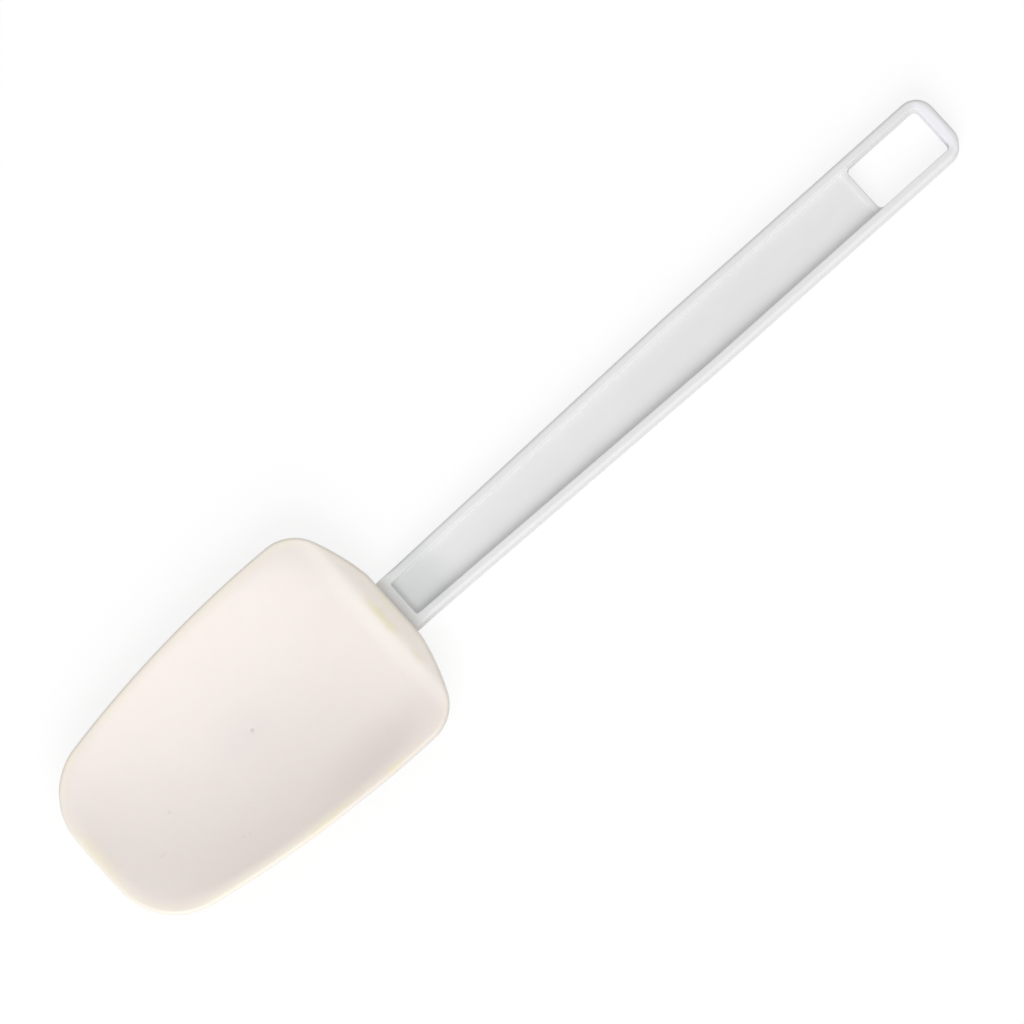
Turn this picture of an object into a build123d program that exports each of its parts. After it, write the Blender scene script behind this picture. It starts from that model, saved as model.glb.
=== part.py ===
from build123d import *
from math import exp
import os

# Silicone spatula: a spoon-shaped silicone blade pushed onto the tang of a one-piece moulded
# handle. It lies on its back, bowl up, with its length along X: the blade's tip is at -X and
# the hanging eye at +X. The origin is under the middle of its box, and Z is up. Millimetres.

# Lengths along X
BLADE_LENGTH = 88.5  # tip to the seam where the handle butts against the blade
HANDLE_LENGTH = 165.5  # seam to the hanging end, without the tang
OVERALL_LENGTH = BLADE_LENGTH + HANDLE_LENGTH
TIP_X = -OVERALL_LENGTH / 2
SEAM_X = TIP_X + BLADE_LENGTH
HANGING_END_X = SEAM_X + HANDLE_LENGTH

# Handle
SEAM_WIDTH = 13.5  # across the handle where it meets the blade
GRIP_WIDTH = 16.8  # across the parallel grip
TAPER_LENGTH = 89.2  # seam to where the sides become parallel
TAPER_BLEND_RADIUS = 300.0
HANDLE_THICKNESS = 6.5
END_CORNER_RADIUS = 4.8
SIDE_WALL = 2.3  # the raised rim down both sides
SEAM_WALL = 2.5  # the rim across the seam end
END_WALL = 3.0  # the rim across the hanging end
WEB_THICKNESS = 2.2
WALL_DRAFT = 1.5  # degrees, on the inside of the rim
RECESS_CORNER_RADIUS = 0.6
EYE_LENGTH = 21.2  # the hanging hole, along X
EYE_CORNER_RADIUS = 1.4
BEAD_WIDTH = 1.7  # the low bar where the web stops at the eye
BEAD_HEIGHT = 0.5
BEAD_RADIUS = 0.35
OUTER_EDGE_RADIUS = 0.9
INNER_EDGE_RADIUS = 0.4

# Tang, the tongue of the handle that fills the blade's socket
TANG_LENGTH = 52.0
TANG_ROOT_WIDTH = 11.2
TANG_ROOT_THICKNESS = 4.0
TANG_END_WIDTH = 8.0
TANG_END_THICKNESS = 2.5
TANG_EDGE_RADIUS = 0.6
TANG_NOSE_LENGTH = 2.4  # the lead that guides it into the socket
TANG_NOSE_NARROWING = 2.6  # what the width loses over that length
CORE_MARGIN = 2.2  # solid border round the cored pocket on each face of the tang
CORE_DEPTH = 0.5
SOCKET_CLEARANCE = 0.12
SOCKET_END_GAP = 0.6

# Blade outline, seen from above: four arcs with rounded corners between them
BLADE_WIDTH = 57.6
BLADE_SEAM_WIDTH = 18.0  # the flat end that the handle butts against
WIDEST_FROM_SEAM = 21.5
SIDE_RADIUS = 280.0
TIP_RADIUS = 185.0
SHOULDER_RADIUS = 55.0
TIP_CORNER_RADIUS = 16.6
HEEL_CORNER_RADIUS = 10.3

# Blade section
TIP_RIM_HEIGHT = 12.7  # top of the lip above the table at the tip
CREST_HEIGHT = 11.9  # top of the lip above the table at the rear crest
CREST_FROM_SEAM = 4.4
SEAM_TOP_HEIGHT = 8.2
BOWL_DEPTH = 6.1
LIP_WIDTH = 1.9
LIP_THICKNESS = 1.9
MIDDLE_THICKNESS = 3.0  # silicone under the deepest point of the bowl, away from the keel
HEEL_THICKNESS = 4.4  # from the lip down to the underside at the shoulders
LIP_OUTER_RADIUS = 0.8
LIP_INNER_RADIUS = 0.8
SEAM_EDGE_SHARE = 1.25  # of the lip's outer radius, for the edge over the seam
CREST_EDGE_SHARE = 0.85  # of the same radius, for the rear crest
KEEL_HALF_WIDTH = 9.6  # the raised back that holds the socket, at the seam
KEEL_END_HALF_WIDTH = 7.0
KEEL_FLAT_LENGTH = 48.0  # how far its underside lies on the table, from the seam
KEEL_RUNOUT = 30.0  # how far it then takes to fade into the bowl's back
KEEL_TRIM = 0.5  # what the table plane takes off its curve, so that it rests flat

# Shapes of the blade's curved faces
BOWL_LENGTH_POWER = 2.6  # how square the bowl's long section is
GRID_ACROSS = 40
GRID_ALONG = 40
SURFACE_TOLERANCE = 0.01  # how closely the smooth faces follow their formulas

# The parabola's height at the lip's inner edge, as a share of the bowl's depth
LIP_FILL_SHARE = 1 - (1 - LIP_WIDTH / (BLADE_WIDTH / 2)) ** 2
MID_HEIGHT = HANDLE_THICKNESS / 2
TANG_UNDERSIDE = MID_HEIGHT - TANG_ROOT_THICKNESS / 2
OVERRUN = TIP_RIM_HEIGHT  # how far cutters pass the faces that they cut
WIDEST_X = SEAM_X - WIDEST_FROM_SEAM
CREST_X = SEAM_X - CREST_FROM_SEAM


def side_half_width(x):
    """Half the blade's width at x, on the long side arcs."""
    arc_centre = BLADE_WIDTH / 2 - SIDE_RADIUS
    return arc_centre + (SIDE_RADIUS**2 - (x - WIDEST_X) ** 2) ** 0.5


def rim_height(x):
    """Height of the lip's top at x: a straight line that falls from the tip to the crest."""
    share = (x - TIP_X) / (CREST_X - TIP_X)
    return TIP_RIM_HEIGHT + (CREST_HEIGHT - TIP_RIM_HEIGHT) * share


def smooth_step(share):
    """A soft rise from 0 to 1 as the share goes from 0 to 1."""
    share = min(max(share, 0.0), 1.0)
    return share**3 * (10 - 15 * share + 6 * share**2)


def bowl_height(x, y):
    """The inside of the bowl: a parabola across, and a squarer curve along, that together
    meet the lip's top a little inside the outline."""
    front = TIP_X
    rear = CREST_X
    middle = (front + rear) / 2
    across = 1 - (y / side_half_width(x)) ** 2
    along = 1 - abs((x - middle) / (rear - middle)) ** BOWL_LENGTH_POWER
    full_depth = BOWL_DEPTH / (1 - LIP_FILL_SHARE)
    return rim_height(x) + full_depth * (LIP_FILL_SHARE - across * along)


def keel_share(x, y):
    """1 on the keel's flat underside and 0 on the plain back of the bowl."""
    from_seam = SEAM_X - x
    narrowing = from_seam / (KEEL_FLAT_LENGTH + KEEL_RUNOUT)
    half_width = KEEL_HALF_WIDTH + (KEEL_END_HALF_WIDTH - KEEL_HALF_WIDTH) * narrowing
    across = exp(-((y / half_width) ** 4))
    along = 1 - smooth_step((from_seam - KEEL_FLAT_LENGTH) / KEEL_RUNOUT)
    return across * along


def back_height(x, y):
    """The back of the blade: the bowl's shell, with the keel let down from it to the table."""
    front = TIP_X
    rear = SEAM_X
    middle = (front + rear) / 2
    across = 1 - (y / side_half_width(x)) ** 2
    run = (x - middle) / (rear - middle)
    if x < middle:
        along = 1 - abs(run) ** BOWL_LENGTH_POWER
        edge = LIP_THICKNESS
    else:
        along = 1 - run**2
        edge = LIP_THICKNESS + (HEEL_THICKNESS - LIP_THICKNESS) * smooth_step(run)
    belly = BOWL_DEPTH + MIDDLE_THICKNESS - LIP_THICKNESS
    shell = rim_height(x) - edge - belly * across * along
    return shell - (shell + KEEL_TRIM) * keel_share(x, y)


def surface(height):
    """A smooth face through a grid of heights that covers the blade's outline."""
    margin = LIP_WIDTH
    length = BLADE_LENGTH + 2 * margin
    width = BLADE_WIDTH + 2 * margin
    rows = []
    for i in range(GRID_ALONG + 1):
        x = TIP_X - margin + length * i / GRID_ALONG
        row = []
        for j in range(GRID_ACROSS + 1):
            y = width * (j / GRID_ACROSS - 1 / 2)
            row.append(Vector(x, y, height(x, y)))
        rows.append(row)
    return Face.make_surface_from_array_of_points(
        rows,
        tol=SURFACE_TOLERANCE,
        min_deg=3,
        max_deg=5,
    )


def tang_width(from_seam):
    """The tang's width at a distance into the blade."""
    return TANG_ROOT_WIDTH + (TANG_END_WIDTH - TANG_ROOT_WIDTH) * from_seam / TANG_LENGTH


def tang_thickness(from_seam):
    """The tang's thickness at a distance into the blade."""
    change = TANG_END_THICKNESS - TANG_ROOT_THICKNESS
    return TANG_ROOT_THICKNESS + change * from_seam / TANG_LENGTH


def section_plane(from_seam, height):
    """A plane across X, inside the blade, with its own X along Y and its own Y upright."""
    return Plane(origin=(SEAM_X - from_seam, 0, height), x_dir=(0, 1, 0), z_dir=(1, 0, 0))


def tang_block(stations, clearance):
    """The tang's wedge, with its long edges rounded. A station is a distance from the seam and
    what the width loses there. The underside is level, so that the tang draws straight out, and
    the top slopes down to clear the bowl. A clearance all round gives the socket."""
    sections = []
    for from_seam, narrowing in stations:
        thickness = tang_thickness(from_seam)
        place = section_plane(from_seam, TANG_UNDERSIDE + thickness / 2)
        outline = RectangleRounded(
            tang_width(from_seam) - narrowing + 2 * clearance,
            thickness + 2 * clearance,
            TANG_EDGE_RADIUS + clearance,
        )
        sections.append(place * outline)
    return loft(sections, ruled=True)


def tang_core(face_share):
    """The shallow pocket that thins the tang's top, for a share of 1, or underside, for 0."""
    sections = []
    for from_seam in (CORE_MARGIN, TANG_LENGTH - CORE_MARGIN):
        height = TANG_UNDERSIDE + tang_thickness(from_seam) * face_share
        width = tang_width(from_seam) - 2 * CORE_MARGIN
        sections.append(section_plane(from_seam, height) * Rectangle(width, 2 * CORE_DEPTH))
    return loft(sections, ruled=True)


def blade_outline():
    """The blade seen from above."""
    side_offset = SIDE_RADIUS - BLADE_WIDTH / 2
    outline = Pos(WIDEST_X, -side_offset) * Circle(SIDE_RADIUS)
    outline &= Pos(WIDEST_X, side_offset) * Circle(SIDE_RADIUS)
    outline &= Pos(TIP_X + TIP_RADIUS, 0) * Circle(TIP_RADIUS)
    # The shoulder's arc meets the ends of the flat at the seam
    bulge = SHOULDER_RADIUS - (SHOULDER_RADIUS**2 - (BLADE_SEAM_WIDTH / 2) ** 2) ** 0.5
    outline &= Pos(SEAM_X + bulge - SHOULDER_RADIUS, 0) * Circle(SHOULDER_RADIUS)
    corners = outline.vertices().sort_by(Axis.X)
    outline = fillet(corners[:2], TIP_CORNER_RADIUS)
    corners = outline.vertices().sort_by(Axis.X)
    outline = fillet(corners[-2:], HEEL_CORNER_RADIUS)
    return outline


def side_view(*top):
    """The side of a blank for the blade: from the table up to a line of points, which runs from
    the seam to beyond the tip."""
    return make_face(Polyline((TIP_X - OVERRUN, 0), (SEAM_X, 0), *top, close=True))


def rear_slope():
    """All that lies below the rear slope, with the edge over the seam rounded."""
    front = TIP_X - OVERRUN
    run = CREST_FROM_SEAM * OVERRUN / (CREST_HEIGHT - SEAM_TOP_HEIGHT)
    top = CREST_HEIGHT + OVERRUN
    below = side_view((SEAM_X, SEAM_TOP_HEIGHT), (CREST_X - run, top), (front, top))
    seam_top = below.vertices().group_by(Axis.X)[-1].sort_by(Axis.Y)[-1]
    return fillet(seam_top, LIP_OUTER_RADIUS * SEAM_EDGE_SHARE)


def make_blade():
    """The silicone blade, with its bowl, keel and socket."""
    front = TIP_X - OVERRUN
    level = side_view((SEAM_X, rim_height(SEAM_X)), (front, rim_height(front)))
    body = extrude(blade_outline(), amount=TIP_RIM_HEIGHT + OVERRUN)
    body &= extrude(Plane.XZ * level, amount=BLADE_WIDTH, both=True)
    lip = body.faces().filter_by(GeomType.PLANE).sort_by(Axis.Z)[-1]
    outer_edges = lip.edges().sort_by(Axis.X)[:-1]
    body = fillet(outer_edges, LIP_OUTER_RADIUS)
    body &= extrude(Plane.XZ * rear_slope(), amount=BLADE_WIDTH, both=True)
    lip = body.faces().filter_by(GeomType.PLANE).sort_by(Axis.Z)[-1]
    crest = lip.edges().sort_by(Axis.X)[-1]
    body = fillet(crest, LIP_OUTER_RADIUS * CREST_EDGE_SHARE)

    body -= extrude(surface(back_height), amount=OVERRUN * 2, dir=(0, 0, -1))

    body -= extrude(surface(bowl_height), amount=OVERRUN * 2, dir=(0, 0, 1))
    lip = body.faces().filter_by(GeomType.PLANE).sort_by(Axis.Z)[-1]
    body = fillet(lip.inner_wires()[0].edges(), LIP_INNER_RADIUS)

    socket_stations = [(-OVERRUN, 0), (TANG_LENGTH + SOCKET_END_GAP, 0)]
    return body - tang_block(socket_stations, SOCKET_CLEARANCE)


def handle_half_width(from_seam):
    """Half the handle's width at a distance from the seam."""
    share = min(from_seam / TAPER_LENGTH, 1)
    return (SEAM_WIDTH + (GRIP_WIDTH - SEAM_WIDTH) * share) / 2


def handle_face(start, stop, inset):
    """The handle's outline from start to stop, both measured from the seam, with its sides
    drawn in by an inset."""
    half_widths = [(x, handle_half_width(x) - inset) for x in (start, TAPER_LENGTH, stop)]
    lower = [(SEAM_X + x, -half) for x, half in half_widths]
    upper = [(SEAM_X + x, half) for x, half in reversed(half_widths)]
    face = make_face(Polyline(lower + upper, close=True))
    return fillet(face.vertices().group_by(Axis.X)[1], TAPER_BLEND_RADIUS)


def make_handle():
    """The moulded handle: a rim and web, the hanging eye and the tang, all in one piece."""
    outline = handle_face(0, HANDLE_LENGTH, 0)
    outline = fillet(outline.vertices().group_by(Axis.X)[-1], END_CORNER_RADIUS)
    body = extrude(outline, amount=HANDLE_THICKNESS)
    opening = handle_face(SEAM_WALL, HANDLE_LENGTH - END_WALL, SIDE_WALL)
    opening = fillet(opening.vertices().group_by(Axis.X)[-1], EYE_CORNER_RADIUS)
    opening = fillet(opening.vertices().group_by(Axis.X)[0], RECESS_CORNER_RADIUS)
    body -= extrude(opening, amount=MID_HEIGHT, taper=WALL_DRAFT)
    body -= extrude(Pos(0, 0, HANDLE_THICKNESS) * opening, amount=-MID_HEIGHT, taper=WALL_DRAFT)
    for side in (0, -1):
        rim = body.faces().filter_by(Axis.Z).sort_by(Axis.Z)[side]
        body = fillet(rim.inner_wires()[0].edges(), INNER_EDGE_RADIUS)
        rim = body.faces().filter_by(Axis.Z).sort_by(Axis.Z)[side]
        outer_edges = rim.outer_wire().edges().sort_by(Axis.X)
        body = fillet(outer_edges[1:], OUTER_EDGE_RADIUS)

    web_end = HANDLE_LENGTH - END_WALL - EYE_LENGTH
    beyond_web = Rectangle(HANDLE_LENGTH, 2 * GRIP_WIDTH, align=(Align.MIN, Align.CENTER))
    eye = opening & Pos(SEAM_X + web_end, 0) * beyond_web
    eye = fillet(eye.vertices().group_by(Axis.X)[0], EYE_CORNER_RADIUS)
    into_wall = SIDE_WALL / 2
    web = handle_face(SEAM_WALL / 2, web_end + EYE_CORNER_RADIUS, into_wall) - eye
    body += extrude(Pos(0, 0, MID_HEIGHT) * web, amount=WEB_THICKNESS / 2, both=True)
    bead_reach = BEAD_WIDTH + EYE_CORNER_RADIUS
    bead = Pos(SEAM_X + web_end - BEAD_WIDTH, 0) * Rectangle(
        bead_reach,
        GRIP_WIDTH - 2 * into_wall,
        align=(Align.MIN, Align.CENTER),
    )
    bead = extrude(
        Pos(0, 0, MID_HEIGHT) * (bead - eye),
        amount=WEB_THICKNESS / 2 + BEAD_HEIGHT,
        both=True,
    )
    bead_faces = bead.faces().filter_by(Axis.Z)
    body += fillet(bead_faces.edges(), BEAD_RADIUS)

    tang_stations = [
        (-SEAM_WALL / 2, 0),
        (TANG_LENGTH - TANG_NOSE_LENGTH, 0),
        (TANG_LENGTH, TANG_NOSE_NARROWING),
    ]
    return body + (tang_block(tang_stations, 0) - tang_core(0) - tang_core(1))


os.makedirs("parts", exist_ok=True)
export_step(make_blade(), "parts/silicone_blade.step")
export_step(make_handle(), "parts/moulded_handle.step")
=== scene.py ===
"""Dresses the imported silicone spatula: its blade, its handle, a floor, a lamp and a camera.

Sizes are in millimetres, in the frame of the part: X runs from the blade's tip to the hanging eye, Z is up,
and the spatula lies on its back. They turn into metres only where a mesh, a lamp or the camera is made.
"""

import logging
from dataclasses import dataclass, field
from enum import Enum
from math import asin, atan2, cos, hypot, pi, radians, sin, sqrt, tan

import bmesh
import bpy
import numpy as np
from mathutils import Matrix, Vector


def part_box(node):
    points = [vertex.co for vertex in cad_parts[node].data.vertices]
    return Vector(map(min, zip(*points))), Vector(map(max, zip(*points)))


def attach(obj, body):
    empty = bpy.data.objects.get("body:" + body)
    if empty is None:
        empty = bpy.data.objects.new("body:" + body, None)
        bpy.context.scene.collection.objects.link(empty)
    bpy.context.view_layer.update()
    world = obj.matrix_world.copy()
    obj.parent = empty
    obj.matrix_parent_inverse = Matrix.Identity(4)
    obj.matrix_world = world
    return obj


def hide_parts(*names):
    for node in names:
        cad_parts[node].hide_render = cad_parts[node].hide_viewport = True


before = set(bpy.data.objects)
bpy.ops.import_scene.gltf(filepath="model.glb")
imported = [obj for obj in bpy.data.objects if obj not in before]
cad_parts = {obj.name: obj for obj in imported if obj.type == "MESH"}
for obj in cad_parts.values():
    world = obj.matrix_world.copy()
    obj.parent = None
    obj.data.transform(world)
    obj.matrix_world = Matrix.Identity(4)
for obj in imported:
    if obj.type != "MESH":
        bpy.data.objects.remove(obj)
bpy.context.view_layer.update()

MM = 0.001
LOG = logging.getLogger("spatula")

Grid = np.ndarray
Point = tuple[float, float]
Triple = tuple[float, float, float]
Colour = tuple[float, float, float, float]
Node = bpy.types.Node
Socket = bpy.types.NodeSocket
Tree = bpy.types.NodeTree


class Slot(Enum):
    """The material slots of the record."""

    HANDLE = "handle_plastic"
    BLADE = "blade_silicone"


class Body(Enum):
    """The bodies that the two pieces ride on."""

    HANDLE = "handle"
    BLADE = "blade"


# Shapes that both pieces use


def as_points(*coordinates: Grid | float) -> Grid:
    """Points of the given coordinates, where a single number stands for a whole row."""
    return np.stack(np.broadcast_arrays(*coordinates), -1)


def quarter(steps: int) -> Grid:
    """Even angles from 0 to a quarter turn, in radians."""
    return np.linspace(0, pi / 2, steps + 1)


def circle(turn: Grid) -> Grid:
    """Points of the unit circle: the cosine and the sine of each angle."""
    return as_points(np.cos(turn), np.sin(turn))


def part_way(start: Grid | float, stop: Grid | float, share: Grid | float) -> Grid | float:
    """What lies a share of the way from start to stop: start + share * (stop - start)."""
    return start + share * (stop - start)


def smooth_step(share: Grid) -> Grid:
    """A soft rise from 0 to 1: ten cubes, less fifteen fourth powers, plus six fifth powers of the share."""
    share = np.clip(share, 0, 1)
    return share**3 * (10 - 15 * share + 6 * share**2)


def soft_min(one: Grid, other: Grid | float, blend: float) -> Grid:
    """The lower of two heights, with their crossing rounded off.

    Formula: the minimum, less blend / 4 times the square of (1 - gap / blend) where the gap between the two
    is less than the blend.

    Args:
        one: Heights.
        other: Heights of the same shape, or one height.
        blend: The gap between the two within which they are rounded.

    Returns:
        The rounded lower heights.
    """
    overlap = np.maximum(1 - np.abs(one - other) / blend, 0)
    return np.minimum(one, other) - blend / 4 * overlap**2


def runs(*marks: tuple[float, int]) -> Grid:
    """Numbers that run evenly from mark to mark.

    Args:
        marks: Pairs of a value and the number of steps that lead to it. The first pair's number is not used.

    Returns:
        All the numbers in order, with each mark once.
    """
    parts = [np.array([marks[0][0]], float)]
    for (start, _), (stop, steps) in zip(marks, marks[1:]):
        parts.append(np.linspace(start, stop, steps + 1)[1:])
    return np.concatenate(parts)


def between(start: Grid | Point, stop: Grid | Point | float, steps: int) -> Grid:
    """Even steps from one value, point or row of points to another.

    Formula: start + share * (stop - start), as the share goes from 0 to 1.

    Args:
        start: Where they start.
        stop: Where they stop, of the same shape or a single value.
        steps: The number of steps.

    Returns:
        A grid of steps + 1 such values, points or rows.
    """
    start = np.asarray(start, float)
    share = np.linspace(0, 1, steps + 1).reshape(-1, *[1] * start.ndim)
    return part_way(start, np.asarray(stop, float), share)


def coons(first: Grid, last: Grid, left: Grid, right: Grid) -> Grid:
    """A grid that fills four edges.

    Formula: the straight blend from the first to the last edge, plus the one from left to right, less the
    plain four-cornered patch that both of them hold.

    Args:
        first: The first row, of shape (n, 3).
        last: The last row, of shape (n, 3).
        left: The first column, of shape (m, 3).
        right: The last column, of shape (m, 3).

    Returns:
        A grid of shape (m, n, 3).
    """
    down = np.linspace(0, 1, len(left))[:, None, None]
    across = np.linspace(0, 1, len(first))[None, :, None]
    rows = part_way(first[None], last[None], down)
    columns = part_way(left[:, None], right[:, None], across)
    corners = part_way(part_way(first[0], first[-1], across), part_way(last[0], last[-1], across), down)
    return rows + columns - corners


def turned_over(grid: Grid, mid_height: float) -> Grid:
    """The grid's mirror image about a level plane."""
    return grid * (1, 1, -1) + (0, 0, 2 * mid_height)


@dataclass
class HalfPath:
    """A plane path of arcs and straight runs, with the way outwards at each of its points."""

    points: list[Grid] = field(default_factory=list)
    outwards: list[Grid] = field(default_factory=list)
    marks: list[float] = field(default_factory=list)
    samples: int = 240

    def distances(self) -> Grid:
        """How far along the path each of its points lies."""
        gaps = np.diff(np.concatenate(self.points), axis=0)
        return np.concatenate([[0.0], np.cumsum(np.hypot(*gaps.T))])

    def arc(self, centre: Point, radius: float, start: float, stop: float) -> "HalfPath":
        """Adds an arc: the centre plus the radius times the cosine and the sine of each angle.

        Args:
            centre: Its centre.
            radius: Its radius.
            start: The angle where it starts, in radians.
            stop: The angle where it stops.

        Returns:
            The path itself.
        """
        way = circle(np.linspace(start, stop, self.samples))
        self.points.append(np.array(centre) + radius * way)
        self.outwards.append(way)
        return self

    def corner(self, centre: Point, radius: float, start: float, stop: float) -> "HalfPath":
        """Adds an arc, as arc does, with a mark at its middle."""
        middle = (start + stop) / 2
        return self.arc(centre, radius, start, middle).mark().arc(centre, radius, middle, stop)

    def line(self, start: Point, stop: Point, way: Point) -> "HalfPath":
        """Adds a straight run.

        Args:
            start: Where it starts.
            stop: Where it stops.
            way: The way outwards from it.

        Returns:
            The path itself.
        """
        self.points.append(between(start, stop, 1))
        self.outwards.append(np.tile(way, (2, 1)))
        return self

    def mark(self) -> "HalfPath":
        """Marks the end of what is drawn so far as a place that a sampled point has to meet."""
        self.marks.append(self.distances()[-1])
        return self

    def sample(self, *steps: int) -> tuple[Grid, Grid]:
        """Even samples between the marks.

        Args:
            steps: The number of steps from each mark to the next, the path's start and end included.

        Returns:
            The points and the ways outwards, each of shape (sum(steps) + 1, 2).
        """
        along = self.distances()
        wanted = runs((0.0, 0), *zip([*self.marks, along[-1]], steps))
        columns = (*np.concatenate(self.points).T, *np.concatenate(self.outwards).T)
        x, y, way_x, way_y = (np.interp(wanted, along, column) for column in columns)
        way = as_points(way_x, way_y)
        return as_points(x, y), way / np.linalg.norm(way, axis=1, keepdims=True)


@dataclass(frozen=True)
class Disc:
    """A large disc, one of those whose overlap is the blade's outline."""

    x: float
    y: float
    radius: float

    def rounding(self, other: "Disc", radius: float, side: int) -> Point:
        """The centre of a rounding of the corner between this disc and another.

        Formula: it lies where the two circles cross that are smaller than the discs by the rounding's radius.

        Args:
            other: The other disc.
            radius: The rounding's radius.
            side: 1 for the crossing that is further along X, and -1 for the other.

        Returns:
            The centre.
        """
        near, far = self.radius - radius, other.radius - radius
        gap_x, gap_y = other.x - self.x, other.y - self.y
        gap = hypot(gap_x, gap_y)
        along = (near**2 - far**2 + gap**2) / (2 * gap)
        across = sqrt(near**2 - along**2) * (side if gap_y < 0 else -side)
        x = self.x + (along * gap_x - across * gap_y) / gap
        y = self.y + (along * gap_y + across * gap_x) / gap
        return x, y

    def towards(self, point: Point) -> float:
        """The angle from the disc's centre to a point."""
        return atan2(point[1] - self.y, point[0] - self.x)

    def centre(self) -> Point:
        """The disc's centre."""
        return self.x, self.y


def half_rectangle(half_width: float, low: float, high: float, radius: float, steps: tuple[int, int]) -> Grid:
    """Half a rounded rectangle, down from its top centre to its bottom centre.

    Args:
        half_width: Half its width.
        low: The height of its bottom.
        high: The height of its top.
        radius: The radius of its corners.
        steps: The steps along its top, up to the middle of the corner, and then down its side.

    Returns:
        Points of (across, up), of shape (2 * steps[0] + steps[1] + 1, 2).
    """
    inner = half_width - radius
    path = HalfPath().line((0, high), (inner, high), (0, 1))
    path.corner((inner, high - radius), radius, pi / 2, 0)
    path.line((half_width, high - radius), (half_width, low + radius), (1, 0))
    path.corner((inner, low + radius), radius, 0, -pi / 2)
    path.line((inner, low), (0, low), (0, -1))
    return path.sample(steps[0], steps[1], steps[0])[0]


def end_cap(loop: Grid, steps: tuple[int, int]) -> Grid:
    """Closes the end of a half rounded rectangle's loop with a patch.

    Args:
        loop: The loop's points, of shape (n, 3), from its top centre round to its bottom centre.
        steps: The steps along its top and down its side, as for half_rectangle.

    Returns:
        The patch's grid.
    """
    top = loop[: steps[0] + 1]
    side = loop[steps[0] : steps[0] + steps[1] + 1]
    bottom = loop[steps[0] + steps[1] :][::-1]
    return coons(top, bottom, between(top[0], bottom[0], steps[1]), side)


def new_object(name: str, data: bpy.types.ID) -> bpy.types.Object:
    """Puts a mesh, a lamp or a camera into the scene.

    Args:
        name: The object's name.
        data: What it holds.

    Returns:
        The object, at the origin.
    """
    thing = bpy.data.objects.new(name, data)
    bpy.context.scene.collection.objects.link(thing)
    return thing


def places_of(mesh: bpy.types.Mesh) -> Grid:
    """Reads where a mesh's points lie.

    Args:
        mesh: The mesh.

    Returns:
        The places in metres, of shape (n, 3).
    """
    flat = np.empty(len(mesh.vertices) * 3, np.float32)
    mesh.vertices.foreach_get("co", flat)
    return flat.reshape(-1, 3)


@dataclass
class Skin:
    """Grids of points that are welded into one closed surface, which is symmetrical about the XZ plane."""

    mid_height: float | None = None
    weld: float = 0.0008
    grids: list[Grid] = field(default_factory=list)

    def add(self, *grids: Grid, whole: bool = False) -> None:
        """Adds grids and their mirror images, also about the level plane at mid_height where there is one.

        Args:
            grids: Points in millimetres, each of shape (m, n, 3).
            whole: Whether the grids reach from top to bottom, so that the level plane doesn't mirror them.
        """
        for grid in grids:
            copies = [grid]
            if self.mid_height is not None and not whole:
                copies.append(turned_over(grid, self.mid_height))
            self.grids += copies + [copy * (1, -1, 1) for copy in copies]

    def build(self, name: str) -> bpy.types.Object:
        """Welds the grids into an object with smooth faces that point outwards.

        Args:
            name: The object's name.

        Returns:
            The object, at the origin and in metres.
        """
        points = np.concatenate([grid.reshape(-1, 3) for grid in self.grids]) * MM
        faces = []
        base = 0
        for grid in self.grids:
            rows, columns = grid.shape[:2]
            index = base + np.arange(rows * columns).reshape(rows, columns)
            quads = as_points(index[:-1, :-1], index[:-1, 1:], index[1:, 1:], index[1:, :-1])
            faces.append(quads.reshape(-1, 4))
            base += rows * columns
        mesh = bpy.data.meshes.new(name)
        mesh.from_pydata(points, [], np.concatenate(faces))
        work = bmesh.new()
        work.from_mesh(mesh)
        bmesh.ops.remove_doubles(work, verts=work.verts, dist=self.weld * MM)
        bmesh.ops.recalc_face_normals(work, faces=work.faces)
        open_edges = sum(not edge.is_manifold for edge in work.edges)
        work.to_mesh(mesh)
        work.free()
        mesh.shade_smooth()
        LOG.info("%s: %d faces, %d open edges", name, len(mesh.polygons), open_edges)
        return new_object(name, mesh)


# The silicone blade


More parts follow.
